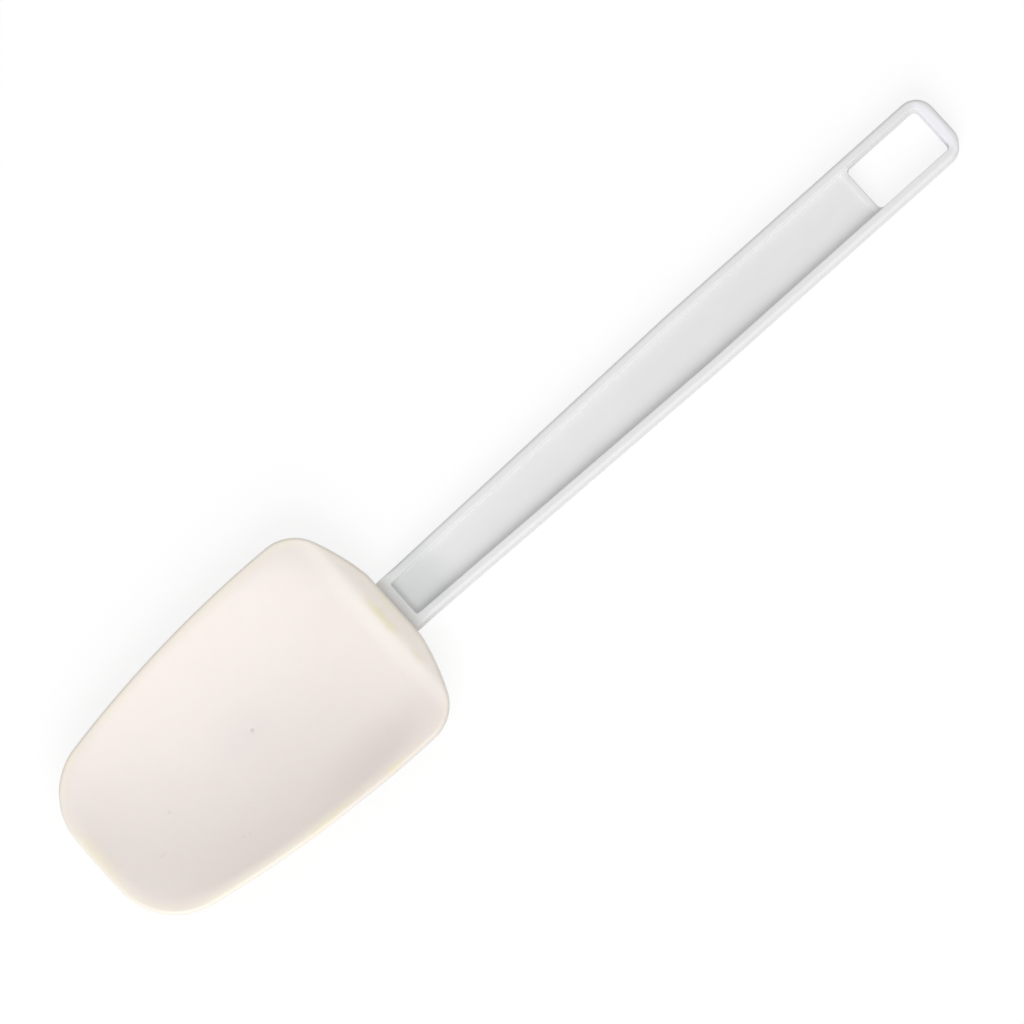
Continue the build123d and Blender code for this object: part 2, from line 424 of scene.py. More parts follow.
@dataclass
class SiliconeBlade:
    """The spoon-shaped blade: its bowl, rounded lip, crest, rear slope, keel and socket.

    A pair of sizes holds the one at the seam and the one at the far end.
    """

    tip_x: float
    seam_x: float
    width: float
    rim_height: float
    widest_from_seam: float = 21.5
    side_radius: float = 280.0
    tip_radius: float = 185.0
    shoulder_radius: float = 55.0
    tip_corner: float = 16.6
    heel_corner: float = 10.3
    seam_width: float = 18.0
    crest_height: float = 11.9
    crest_from_seam: float = 4.4
    seam_height: float = 10.0
    crest_blend: float = 0.34
    bowl_depth: float = 6.1
    bowl_power: float = 2.6
    lip_width: float = 1.9
    lip_blend: float = 0.55
    lip_thickness: float = 1.9
    lip_edge: float = 0.8
    under_edge: float = 0.5
    middle_thickness: float = 3.0
    heel_thickness: float = 4.4
    keel_half_widths: Point = (9.6, 7.0)
    keel_flat: float = 48.0
    keel_runout: float = 30.0
    keel_trim: float = 0.5
    keel_blend: float = 0.12
    seam_gap: float = 0.01
    socket_half_widths: Point = (5.72, 4.1)
    socket_floor: float = 1.13
    socket_roofs: Point = (5.37, 3.85)
    socket_depth: float = 52.6
    socket_corner: float = 0.72
    socket_mouth: float = 0.3
    gate_x: float = -81.0
    gate_y: float = 0.65
    gate_radius: float = 0.7
    gate_depth: float = 0.1
    near_inset: float = 3.4
    far_inset: float = 7.0
    steps_tip: int = 56
    steps_side: int = 128
    steps_shoulder: int = 44
    steps_seam: int = 12
    steps_wall: int = 6
    steps_edge: int = 8
    steps_near: int = 14
    steps_far: int = 6
    steps_turning: int = 14
    steps_seam_face: int = 6
    steps_mouth: int = 4
    steps_tunnel: int = 26
    lip_samples: tuple[int, ...] = (60, 120, 60, 10)
    lip_batches: int = 12

    def crest_x(self) -> float:
        """Where the lip's straight top ends."""
        return self.seam_x - self.crest_from_seam

    def discs(self) -> tuple[Disc, Disc, Disc]:
        """The discs whose overlap is the outline.

        Returns:
            Those of the tip, of the long side at +Y and of the shoulders.
        """
        bulge = self.shoulder_radius - sqrt(self.shoulder_radius**2 - (self.seam_width / 2) ** 2)
        tip = Disc(self.tip_x + self.tip_radius, 0, self.tip_radius)
        side = Disc(self.seam_x - self.widest_from_seam, self.width / 2 - self.side_radius, self.side_radius)
        shoulder = Disc(self.seam_x + bulge - self.shoulder_radius, 0, self.shoulder_radius)
        return tip, side, shoulder

    def outline(self) -> tuple[HalfPath, Point, Point]:
        """The outline at +Y, from the middle of the tip to the middle of the seam.

        Returns:
            The path, and the centres of its tip corner and of its heel corner.
        """
        tip, side, shoulder = self.discs()
        tip_centre = tip.rounding(side, self.tip_corner, -1)
        heel_centre = side.rounding(shoulder, self.heel_corner, 1)
        tip_stop, side_start = tip.towards(tip_centre), side.towards(tip_centre)
        side_stop, shoulder_start = side.towards(heel_centre), shoulder.towards(heel_centre)
        seam_half = self.seam_width / 2
        path = HalfPath().arc(tip.centre(), tip.radius, pi, tip_stop)
        path.corner(tip_centre, self.tip_corner, tip_stop, side_start)
        path.arc(side.centre(), side.radius, side_start, side_stop)
        path.corner(heel_centre, self.heel_corner, side_stop, shoulder_start)
        path.arc(shoulder.centre(), shoulder.radius, shoulder_start, asin(seam_half / shoulder.radius)).mark()
        path.line((self.seam_x, seam_half), (self.seam_x, 0), (1, 0))
        return path, tip_centre, heel_centre

    def side_half_width(self, x: Grid) -> Grid:
        """Half the width of the long side arcs: their centre's offset plus the arc's height at x."""
        run = x - (self.seam_x - self.widest_from_seam)
        return self.width / 2 - self.side_radius + np.sqrt(self.side_radius**2 - run**2)

    def rim_line(self, x: Grid) -> Grid:
        """The lip's top: a straight line that falls from the tip to the crest."""
        return part_way(self.rim_height, self.crest_height, (x - self.tip_x) / (self.crest_x() - self.tip_x))

    def top(self, x: Grid, y: Grid) -> Grid:
        """The height of the blade's upper side.

        Formula: the lowest of the lip's line, the rear slope and the bowl, each crossing rounded. The bowl is
        a parabola across times a squarer curve along, below the lip's line.

        Args:
            x: Places along the blade.
            y: Places across it, of the same shape.

        Returns:
            Heights of the same shape.
        """
        rim = self.rim_line(x)
        slope = part_way(self.crest_height, self.seam_height, (x - self.crest_x()) / self.crest_from_seam)
        profile = soft_min(rim, slope, self.crest_blend)
        lip_fill = 1 - (1 - self.lip_width / (self.width / 2)) ** 2
        middle = (self.tip_x + self.crest_x()) / 2
        across = 1 - (y / self.side_half_width(x)) ** 2
        along = 1 - np.abs((x - middle) / (self.crest_x() - middle)) ** self.bowl_power
        bowl = rim + self.bowl_depth / (1 - lip_fill) * (lip_fill - across * along)
        return soft_min(profile, bowl, self.lip_blend)

    def keel_share(self, x: Grid, y: Grid) -> Grid:
        """How far the keel shows.

        Formula: a flat-topped bell across, which narrows away from the seam, times a soft run-out along.

        Args:
            x: Places along the blade.
            y: Places across it, of the same shape.

        Returns:
            Shares from 0 to 1, of the same shape.
        """
        from_seam = self.seam_x - x
        narrowing = from_seam / (self.keel_flat + self.keel_runout)
        half_width = part_way(*self.keel_half_widths, narrowing)
        run_out = smooth_step((from_seam - self.keel_flat) / self.keel_runout)
        return np.exp(-((y / half_width) ** 4)) * (1 - run_out)

    def underside(self, x: Grid, y: Grid) -> Grid:
        """The height of the blade's back.

        Formula: the bowl's shell, let down to the table where the keel is, and cut level there.

        Args:
            x: Places along the blade.
            y: Places across it, of the same shape.

        Returns:
            Heights of the same shape, none below the table.
        """
        middle = (self.tip_x + self.seam_x) / 2
        across = 1 - (y / self.side_half_width(x)) ** 2
        run = (x - middle) / (self.seam_x - middle)
        along = np.where(x < middle, 1 - np.abs(run) ** self.bowl_power, 1 - run**2)
        thickening = np.where(x < middle, 0, smooth_step(run))
        edge = part_way(self.lip_thickness, self.heel_thickness, thickening)
        belly = self.bowl_depth + self.middle_thickness - self.lip_thickness
        shell = self.rim_line(x) - edge - belly * across * along
        height = shell - (shell + self.keel_trim) * self.keel_share(x, y)
        return -soft_min(-height, 0, self.keel_blend)

    def face(self, points: Grid, outwards: Grid, centres: tuple[Point, Point], upper: bool) -> list[Grid]:
        """The upper side or the back, from its rounded outer edge to the middle of the blade.

        Formula: rings that lie ever further inside the outline, along its normals, then rings that turn into
        a four-cornered patch between the corners' centres. Each point's height is that of the side, less the
        rounding's fall near the outline.

        Args:
            points: The outline's samples, of shape (n, 2).
            outwards: The ways outwards there.
            centres: The centres of the tip corner and the heel corner.
            upper: Whether this is the upper side.

        Returns:
            The grid of rings and the grid of the patch.
        """
        height, edge = (self.top, self.lip_edge) if upper else (self.underside, self.under_edge)
        turn = quarter(self.steps_edge)
        flat = runs((edge, 0), (self.near_inset, self.steps_near), (self.far_inset, self.steps_far))[1:]
        insets = np.concatenate([edge * (1 - np.cos(turn)), flat])
        rings = points - insets[:, None, None] * outwards
        tip, heel = np.array(centres)
        tip_side = between((tip[0], 0), tip, self.steps_tip)
        long_side = between(tip, heel, self.steps_side)
        rear_side = between(heel, (heel[0], 0), self.steps_tip)
        inner = np.concatenate([tip_side, long_side[1:], rear_side[1:]])
        plan = np.concatenate([rings, between(rings[-1], inner, self.steps_turning)[1:]])
        middle = between(tip_side[0], rear_side[-1], self.steps_side)
        patch = coons(tip_side, rear_side[::-1], middle, long_side)
        level = height(plan[..., 0], plan[..., 1])
        fall = edge * (1 - np.sin(turn))[:, None]
        level[: len(turn)] += -fall if upper else fall
        return [np.dstack([plan, level]), np.dstack([patch, height(patch[..., 0], patch[..., 1])])]

    def socket_loop(self, depth: float, grow: float = 0.0) -> Grid:
        """Half the socket's section, a rounded rectangle that narrows evenly with the depth into the blade.

        Args:
            depth: The distance from the seam.
            grow: What the rounded mouth adds to it all round.

        Returns:
            Points of shape (n, 3).
        """
        share = depth / self.socket_depth
        half = part_way(*self.socket_half_widths, share) + grow
        roof = part_way(*self.socket_roofs, share) + grow
        steps = (self.steps_seam, self.steps_wall)
        flat = half_rectangle(half, self.socket_floor - grow, roof, self.socket_corner + grow, steps)
        return as_points(self.seam_x - self.seam_gap - depth, *flat.T)

    def socket(self, rim: Grid) -> list[Grid]:
        """The face at the seam, the socket's rounded mouth, its tunnel and its end.

        Formula: at each angle of the mouth's quarter round, the loop lies (1 - cosine) of its radius deep and
        is wider by (1 - sine) of it.

        Args:
            rim: Half the seam face's outer edge, from its top centre to its bottom centre.

        Returns:
            Their grids.
        """
        turns = quarter(self.steps_mouth)
        sizes = zip(self.socket_mouth * (1 - np.cos(turns)), self.socket_mouth * (1 - np.sin(turns)))
        mouth = np.stack([self.socket_loop(depth, grow) for depth, grow in sizes])
        depths = runs((self.socket_mouth, 0), (self.socket_depth, self.steps_tunnel))
        tunnel = np.stack([self.socket_loop(depth) for depth in depths])
        seam_face = between(rim, mouth[0], self.steps_seam_face)
        return [seam_face, mouth, tunnel, end_cap(tunnel[-1], (self.steps_seam, self.steps_wall))]

    def build(self) -> bpy.types.Object:
        """Builds the blade's closed surface.

        Returns:
            The blade's object.
        """
        path, *centres = self.outline()
        points, outwards = path.sample(self.steps_tip, self.steps_side, self.steps_shoulder, self.steps_seam)
        points[:, 0] = np.minimum(points[:, 0], self.seam_x - self.seam_gap)
        corner = len(points) - self.steps_seam - 1
        across = points[corner:, 1] / self.shoulder_radius
        outwards[corner:] = as_points(np.sqrt(1 - across**2), across)
        upper = self.face(points, outwards, centres, True)
        back = self.face(points, outwards, centres, False)
        top_edge, low_edge = upper[0][0], back[0][0]
        wall = between(top_edge, low_edge, self.steps_wall)
        rim = np.concatenate([top_edge[corner:][::-1], wall[1:-1, corner], low_edge[corner:]])
        skin = Skin()
        skin.add(*upper, *back, wall[:, : corner + 1], *self.socket(rim))
        piece = skin.build("spoon_blade")
        self.press_gate(piece.data)
        self.mark_lip(piece.data)
        return piece

    def press_gate(self, mesh: bpy.types.Mesh) -> None:
        """Presses the gate's small round mark into the bowl.

        Formula: a point of the bowl falls by the mark's depth times a flat-topped bell of its plan distance.

        Args:
            mesh: The blade's mesh.
        """
        places = places_of(mesh)
        gap = np.hypot(places[:, 0] / MM - self.gate_x, places[:, 1] / MM - self.gate_y) / self.gate_radius
        in_bowl = places[:, 2] / MM > max(self.socket_roofs)
        places[:, 2] -= self.gate_depth * MM * np.exp(-(gap**4)) * in_bowl
        mesh.vertices.foreach_set("co", places.ravel())
        mesh.update()

    def mark_lip(self, mesh: bpy.types.Mesh) -> None:
        """Stores on each point how near it lies to the outline: 1 at the lip and 0 in the bowl.

        Formula: a soft step of the shortest plan distance to the outline, over twice the lip's width.

        Args:
            mesh: The blade's mesh.
        """
        half = self.outline()[0].sample(*self.lip_samples)[0]
        line = np.concatenate([half, half * (1, -1)]) * MM
        plan = places_of(mesh)[:, None, :2]
        gap = np.full(len(plan), np.inf)
        for batch in np.array_split(line, self.lip_batches):
            gap = np.minimum(gap, np.linalg.norm(plan - batch, axis=2).min(axis=1))
        near = 1 - smooth_step(gap / (2 * self.lip_width * MM))
        attribute = mesh.attributes.new("lip", "FLOAT", "POINT")
        attribute.data.foreach_set("value", near.astype(np.float32))


# The moulded handle


@dataclass
class MouldedHandle:
    """The handle: a raised rim round a thin web, the hanging eye with its bead, and the tang.

    A pair of sizes holds the one at the seam and the one at the tang's end.
    """

    seam_x: float
    end_x: float
    width: float
    thickness: float
    seam_width: float = 13.5
    taper: float = 89.2
    taper_blend: float = 0.045
    end_corner: float = 4.8
    side_wall: float = 2.1
    seam_wall: float = 2.4
    end_wall: float = 3.0
    web: float = 2.2
    draft: float = tan(radians(6.8))
    seam_corner: float = 0.4
    recess_corner: float = 0.6
    eye_length: float = 21.2
    eye_corner: float = 1.4
    bead_width: float = 1.7
    bead_height: float = 0.5
    bead_edge: float = 0.35
    outer_edge: float = 0.9
    seam_edge: float = 0.12
    edge_run: float = 6.0
    inner_edge: float = 0.2
    web_fillet: float = 0.1
    seam_gap: float = 0.02
    tang_length: float = 52.0
    tang_half_widths: Point = (5.6, 4.0)
    tang_floor: float = 1.25
    tang_tops: Point = (5.25, 3.75)
    tang_corner: float = 0.6
    tang_nose: float = 2.4
    tang_nose_inset: float = 1.3
    core_margin: float = 2.2
    core_depth: float = 0.5
    core_wall: float = 0.3
    fine_start: float = 10.0
    fine_end: float = 6.0
    start_lag: float = 12.0
    end_lag: float = 8.0
    steps_seam: int = 14
    steps_corner: int = 6
    steps_start: int = 14
    steps_web: int = 110
    steps_end: int = 10
    steps_eye: int = 16
    steps_end_corner: int = 12
    steps_end_wall: int = 8
    steps_bead: int = 6
    steps_bead_top: int = 3
    steps_junction: int = 5
    steps_wall: int = 5
    steps_inner_wall: int = 6
    steps_inner_edge: int = 5
    steps_rim_top: int = 4
    steps_edge: int = 8
    steps_seam_face: int = 4
    steps_margin: int = 2
    steps_core_wall: int = 3
    steps_core: int = 23
    steps_nose: int = 6

    def length(self) -> float:
        """The handle's length, without its tang."""
        return self.end_x - self.seam_x

    def middle(self) -> float:
        """The height of the handle's middle plane, about which it is symmetrical."""
        return self.thickness / 2

    def half_width(self, s: Grid | float) -> Grid | float:
        """Half the handle's width: the lower of an even taper and the grip's width, with a soft crossing."""
        taper = part_way(self.seam_width / 2, self.width / 2, s / self.taper)
        return soft_min(taper, self.width / 2, self.taper_blend)

    def web_end(self) -> float:
        """Where the web stops at the hanging eye, from the seam."""
        return self.length() - self.end_wall - self.eye_length

    def web_top(self) -> float:
        """The height of the web's upper face."""
        return self.middle() + self.web / 2

    def place(self, plan: Grid, heights: Grid | float) -> Grid:
        """Points of the part's frame, from places measured from the seam and heights."""
        return as_points(plan[..., 0] + self.seam_x, plan[..., 1], heights)

    def wall_points(self, inner: Grid, ways: Grid, inset: Grid | float, height: Grid) -> Grid:
        """Points on the opening's walls, which lean into it by the draft below the rim.

        Formula: the outline's point, less the way outwards times the inset plus the draft times the depth.

        Args:
            inner: The opening's outline, of shape (n, 2).
            ways: The ways from the opening into the wall.
            inset: Further distances into the opening, of the heights' shape.
            height: Heights, of shape (m, n) or (m, 1).

        Returns:
            Points of shape (m, n, 3).
        """
        reach = inset + self.draft * (self.thickness - height)
        return self.place(inner - ways * reach[..., None], height)

    def bead_profile(self) -> tuple[Grid, Grid, Grid]:
        """The bead's section: a soft rise from the web, a level top and a quarter round down to the end face.

        Formula: the height is the web's, plus the bead's times a soft step of the way up, less a quarter
        circle's fall over the last stretch.

        Returns:
            Places along the handle, heights, and how far each place follows the eye's corners, from 0 to 1.
        """
        start, stop = self.web_end() - self.bead_width, self.web_end() - self.bead_edge
        rise = between(start, start + self.bead_edge, self.steps_bead)
        flat = between(rise[-1], stop, self.steps_bead_top)[1:]
        s = np.concatenate([rise, flat, stop + self.bead_edge * np.sin(quarter(self.steps_bead)[1:])])
        past = np.clip((s - stop) / self.bead_edge, 0, 1)
        heights = self.web_top() + self.bead_height * smooth_step((s - start) / self.bead_edge)
        heights -= self.bead_edge * (1 - np.sqrt(1 - past**2))
        return s, heights, smooth_step((s - start) / (stop - start))

    def side_columns(self) -> tuple[Grid, Grid, Grid]:
        """The columns of the long wall beside the web, from the seam's corner to the end of the web.

        Returns:
            Places along the handle, the floor's height at each, and the radius of the fillet on the floor.
        """
        start = self.seam_wall + self.recess_corner
        s, heights, follow = self.bead_profile()
        stretches = ((start + self.fine_start, self.steps_start), (s[0] - self.fine_end, self.steps_web))
        plain = runs((start, 0), *stretches, (s[0], self.steps_end))[:-1]
        follow = np.concatenate([np.zeros(len(plain)), follow])
        places = np.concatenate([plain, s]) + self.eye_corner * follow
        floor = np.concatenate([np.full(len(plain), self.web_top()), heights])
        return places, floor, self.web_fillet * (1 - follow)

    def ring_plan(self) -> list[Grid]:
        """The half ring of columns at +Y, from the middle of the seam wall to the middle of the end wall.

        Formula: each column joins a point of the opening's outline to one of the outer outline. Both run
        straight along the walls, and round their corners by the same angle. Near each end of the side the
        outer point lags behind the inner one, by a soft step, so that both reach their corners together.

        Returns:
            The inner points, the outer points and the ways from the opening into the wall.
        """
        places = self.side_columns()[0]
        opening_end = self.length() - self.end_wall
        inner_start = (places[0], self.half_width(self.seam_wall) - self.side_wall - self.recess_corner)
        outer_start = (self.seam_gap + self.seam_corner, self.seam_width / 2 - self.seam_corner)
        inner_end = (opening_end - self.eye_corner, self.width / 2 - self.side_wall - self.eye_corner)
        outer_end = (self.length() - self.end_corner, self.width / 2 - self.end_corner)
        along = np.concatenate([places[1:], runs((places[-1], 0), (inner_end[0], self.steps_eye))])
        start_lag = (places[0] - outer_start[0]) * (1 - smooth_step((along - places[0]) / self.start_lag))
        end_lag = (along[-1] - outer_end[0]) * smooth_step((along - along[-1]) / self.end_lag + 1)
        outer_along = along - start_lag - end_lag
        first_turn = circle(pi - quarter(self.steps_corner)[1:])
        last_turn = circle(pi / 2 - quarter(self.steps_end_corner)[1:])
        outwards = np.linspace(0, 1, self.steps_seam + 1)
        inwards = np.linspace(1, 0, self.steps_end_wall + 1)[1:]
        inner = [
            as_points(self.seam_wall, inner_start[1] * outwards),
            inner_start + self.recess_corner * first_turn,
            as_points(along, self.half_width(along) - self.side_wall),
            inner_end + self.eye_corner * last_turn,
            as_points(opening_end, inner_end[1] * inwards),
        ]
        outer = [
            as_points(self.seam_gap, outer_start[1] * outwards),
            outer_start + self.seam_corner * first_turn,
            as_points(outer_along, self.half_width(outer_along)),
            outer_end + self.end_corner * last_turn,
            as_points(self.length(), outer_end[1] * inwards),
        ]
        ways = ((-1, 0), first_turn, (0, 1), last_turn, (1, 0))
        ways = [np.broadcast_to(way, stretch.shape) for way, stretch in zip(ways, inner)]
        return [np.concatenate(stretches) for stretches in (inner, outer, ways)]

    def rim(self, skin: Skin) -> tuple[Grid, Grid, Grid]:
        """Adds the rim column by column: the fillet, the inner wall, the rounded top and the outer wall.

        Args:
            skin: The surface that they go to.

        Returns:
            The points where the fillets meet the web, the outer wall's upper edge, and the outer wall.
        """
        inner, outer, ways = self.ring_plan()
        seam_columns = self.steps_seam + self.steps_corner
        floor, fillet = (np.pad(row, (seam_columns, 0), "edge") for row in self.side_columns()[1:])
        web, eye = slice(0, len(floor)), slice(len(floor), None)
        turn = quarter(self.steps_junction)[:, None]
        inset, rise = fillet * (1 - np.sin(turn)), fillet * (1 - np.cos(turn))
        foot = self.wall_points(inner[web], ways[web], inset, floor + rise)
        eye_height = between(self.middle(), floor[-1], self.steps_junction)[:, None]
        drop = self.wall_points(inner[eye], ways[eye], 0, eye_height)

        start = np.pad(floor + fillet, (0, len(inner) - len(floor)), "edge")
        stop = self.thickness - self.inner_edge
        wall = self.wall_points(inner, ways, 0, between(start, stop, self.steps_inner_wall))
        turn = quarter(self.steps_inner_edge)[1:, None]
        widening = self.inner_edge * (np.cos(turn) - 1)
        lip = self.wall_points(inner, ways, widening, stop + self.inner_edge * np.sin(turn))

        past_seam = (outer[:, 0] - self.seam_gap - self.seam_corner) / self.edge_run
        edge = part_way(self.seam_edge, self.outer_edge, smooth_step(past_seam))
        turn = quarter(self.steps_edge)[::-1, None]
        edge_plan = outer - ways * (edge * (1 - np.cos(turn)))[..., None]
        shoulder = self.place(edge_plan, self.thickness - edge * (1 - np.sin(turn)))
        flat = between(lip[-1], shoulder[0], self.steps_rim_top)[1:-1]
        side = self.place(outer, between(self.thickness - edge, self.middle(), self.steps_wall))
        skin.add(foot, drop, np.concatenate([wall, lip, flat, shoulder]), side[:, self.steps_seam :])
        return foot[0], shoulder[-1], side

    def eye_line(self, half: float, along: float, follow: float = 1.0) -> Grid:
        """A line across the web that follows the eye's rounded corner, from the wall to the middle.

        Formula: straight across, and round the corner by a quarter circle of the eye's corner radius, of
        which the part along the handle is scaled by follow.

        Args:
            half: The half width of the opening there.
            along: The line's place along the handle at its middle.
            follow: How far it follows the corner, from 0 to 1.

        Returns:
            Points of (along, across), of shape (n, 2).
        """
        turn = quarter(self.steps_corner)
        flat = half - self.eye_corner
        corner = as_points((1 - np.sin(turn)) * follow, np.cos(turn)) * self.eye_corner + (0, flat)
        straight = as_points(0, flat * np.linspace(1, 0, self.steps_seam + 1)[1:])
        return np.concatenate([corner, straight]) + (along, 0)

    def floor(self, skin: Skin, foot: Grid) -> None:
        """Adds the web, the bead and the web's end face, all of the upper half.

        Args:
            skin: The surface that they go to.
            foot: The points where the walls' fillets meet the web.
        """
        s, heights, follow = self.bead_profile()
        corner = self.steps_seam + self.steps_corner
        left, bead_foot = foot[corner : 1 - len(s)], foot[-len(s) :]
        lines = [self.eye_line(*sizes) for sizes in zip(bead_foot[:, 1], s, follow)]
        bead = self.place(np.stack(lines), heights[:, None])
        seam_row = foot[: corner + 1][::-1]
        middle = between(seam_row[-1], bead[0, -1], len(left) - 1)
        opening = self.half_width(self.web_end()) - self.side_wall
        levels = between(heights[-1], self.middle(), self.steps_junction)
        halves = opening - self.draft * (self.thickness - levels)
        lines = [self.eye_line(half, self.web_end()) for half in halves]
        face = self.place(np.stack(lines), levels[:, None])
        skin.add(coons(seam_row, bead[0], left, middle), bead, face)

    def tang_loop(self, depth: float) -> Grid:
        """Half the tang's section: a rounded rectangle that narrows, faster at its nose, with cored faces.

        Formula: the half width falls evenly, and by the nose's inset as well over the nose's length. The core
        is a fixed depth inside a margin, with a soft wall round it.

        Args:
            depth: The distance from the seam into the blade.

        Returns:
            Points of shape (n, 3).
        """
        share = depth / self.tang_length
        even_half = part_way(*self.tang_half_widths, share)
        top = part_way(*self.tang_tops, share)
        past = max(depth - self.tang_length + self.tang_nose, 0)
        half = even_half - self.tang_nose_inset * past / self.tang_nose
        steps = (self.steps_seam, 2 * self.steps_wall)
        flat = half_rectangle(half, self.tang_floor, top, self.tang_corner, steps)
        from_ends = min(depth, self.tang_length - depth) - self.core_margin
        from_sides = even_half - self.core_margin - flat[:, 0]
        core = smooth_step(from_ends / self.core_wall) * smooth_step(from_sides / self.core_wall)
        flat[:, 1] -= self.core_depth * core * np.sign(flat[:, 1] - (self.tang_floor + top) / 2)
        return as_points(self.seam_x + self.seam_gap - depth, *flat.T)

    def tang(self, skin: Skin, upper: Grid) -> None:
        """Adds the seam face and the tang that stands on it.

        Args:
            skin: The surface that they go to.
            upper: The seam face's edge, from its top centre out to its side at the middle plane.
        """
        rim = np.concatenate([upper, turned_over(upper, self.middle())[::-1][1:]])
        core_wall = runs((self.core_margin, 0), (self.core_margin + self.core_wall, self.steps_core_wall))
        stretches = [
            runs((0, 0), (self.core_margin, self.steps_margin)),
            core_wall,
            runs((core_wall[-1], 0), (self.tang_length - self.core_margin, self.steps_core)),
            self.tang_length - core_wall,
            runs((self.tang_length - self.tang_nose, 0), (self.tang_length, self.steps_nose)),
        ]
        depths = np.unique(np.concatenate(stretches).round(4))
        loops = np.stack([self.tang_loop(depth) for depth in depths])
        cap = end_cap(loops[-1], (self.steps_seam, 2 * self.steps_wall))
        skin.add(between(rim, loops[0], self.steps_seam_face), loops, cap, whole=True)

    def build(self) -> bpy.types.Object:
        """Builds the handle's closed surface.

        Returns:
            The handle's object.
        """
        skin = Skin(self.middle())
        foot, edge, side = self.rim(skin)
        self.floor(skin, foot)
        self.tang(skin, np.concatenate([edge[: self.steps_seam + 1], side[1:, self.steps_seam]]))
        return skin.build("grip_handle")


# Finishes

FLOAT, VECTOR, COLOUR = "NodeSocketFloat", "NodeSocketVector", "NodeSocketColor"
KINDS = {1: FLOAT, 3: VECTOR, 4: COLOUR}


@dataclass
class Wiring:
    """A short way to add and join nodes in one tree."""

    tree: Tree

    def node(self, kind: str, settings: dict | None = None, *values: object, **sockets: object) -> Node:
        """Adds a node.

        Args:
            kind: Its type name, without the leading ShaderNode.
            settings: Its own settings.
            values: Its first inputs in order, each a value or the output of another node.
            sockets: Its inputs by name, with underscores for spaces.

        Returns:
            The node.
        """
        node = self.tree.nodes.new("ShaderNode" + kind)
        for label, value in (settings or {}).items():
            setattr(node, label, value)
        for socket, value in zip(node.inputs, values):
            self.feed(socket, value)
        for label, value in sockets.items():
            self.feed(node.inputs[label.replace("_", " ")], value)
        return node

    def feed(self, socket: Socket, value: object) -> None:
        """Joins an output to a socket, or sets the socket's own value.

        Args:
            socket: The socket.
            value: The output or the value.
        """
        if isinstance(value, Socket):
            self.tree.links.new(value, socket)
        else:
            socket.default_value = value

    def math(self, operation: str, *values: object) -> Socket:
        """Adds a Math node and returns its result."""
        return self.node("Math", {"operation": operation}, *values).outputs[0]

    def vector(self, operation: str, *values: object) -> Socket:
        """Adds a Vector Math node and returns its vector."""
        return self.node("VectorMath", {"operation": operation}, *values).outputs[0]

    def ramp(self, *values: object) -> Socket:
        """Adds a smooth step of a value between two others, from 0 to 1 or between two more."""
        return self.node("MapRange", {"interpolation_type": "SMOOTHSTEP"}, *values).outputs[0]

    def noise(self, place: Socket, scale: object, detail: float, roughness: float = 0.5) -> Socket:
        """Adds a Noise Texture node and returns its value."""
        return self.node("TexNoise", Vector=place, Scale=scale, Detail=detail, Roughness=roughness).outputs[0]

    def mix(self, factor: object, low: object, high: object) -> Socket:
        """Adds a colour Mix node.

        Args:
            factor: The share of the second colour.
            low: The first colour.
            high: The second colour.

        Returns:
            The mixed colour.
        """
        node = self.node("Mix", {"data_type": "RGBA"}, factor)
        sockets = {socket.identifier: socket for socket in (*node.inputs, *node.outputs)}
        self.feed(sockets["A_Color"], low)
        self.feed(sockets["B_Color"], high)
        return sockets["Result_Color"]

    def group(self, tree: Tree, **sockets: object) -> bpy.types.NodeOutputs:
        """Places a node group, feeds its inputs and returns its outputs."""
        return self.node("Group", {"node_tree": tree}, **sockets).outputs

    def object_place(self) -> Socket:
        """The object's coordinates."""
        return self.node("TexCoord").outputs["Object"]

    def give(self, **outputs: Socket) -> Tree:
        """Feeds a group's outputs by name.

        Args:
            outputs: What each gives out.

        Returns:
            The finished group.
        """
        for label, value in outputs.items():
            self.feed(self.tree.nodes["Group Output"].inputs[label], value)
        return self.tree


def start_group(name: str, inputs: dict[str, object], **outputs: str) -> tuple[Wiring, bpy.types.NodeOutputs]:
    """Starts a shader node group with named sockets.

    Args:
        name: The group's name.
        inputs: For each input, its starting value: a number, a vector or a colour.
        outputs: For each output, its socket type.

    Returns:
        The group's wiring, and its inputs as sockets to join from.
    """
    group = bpy.data.node_groups.new(name, "ShaderNodeTree")
    for label, value in inputs.items():
        kind = KINDS[np.size(value)]
        group.interface.new_socket(label, in_out="INPUT", socket_type=kind).default_value = value
    for label, kind in outputs.items():
        group.interface.new_socket(label, in_out="OUTPUT", socket_type=kind)
    group.nodes.new("NodeGroupOutput")
    return Wiring(group), group.nodes.new("NodeGroupInput").outputs


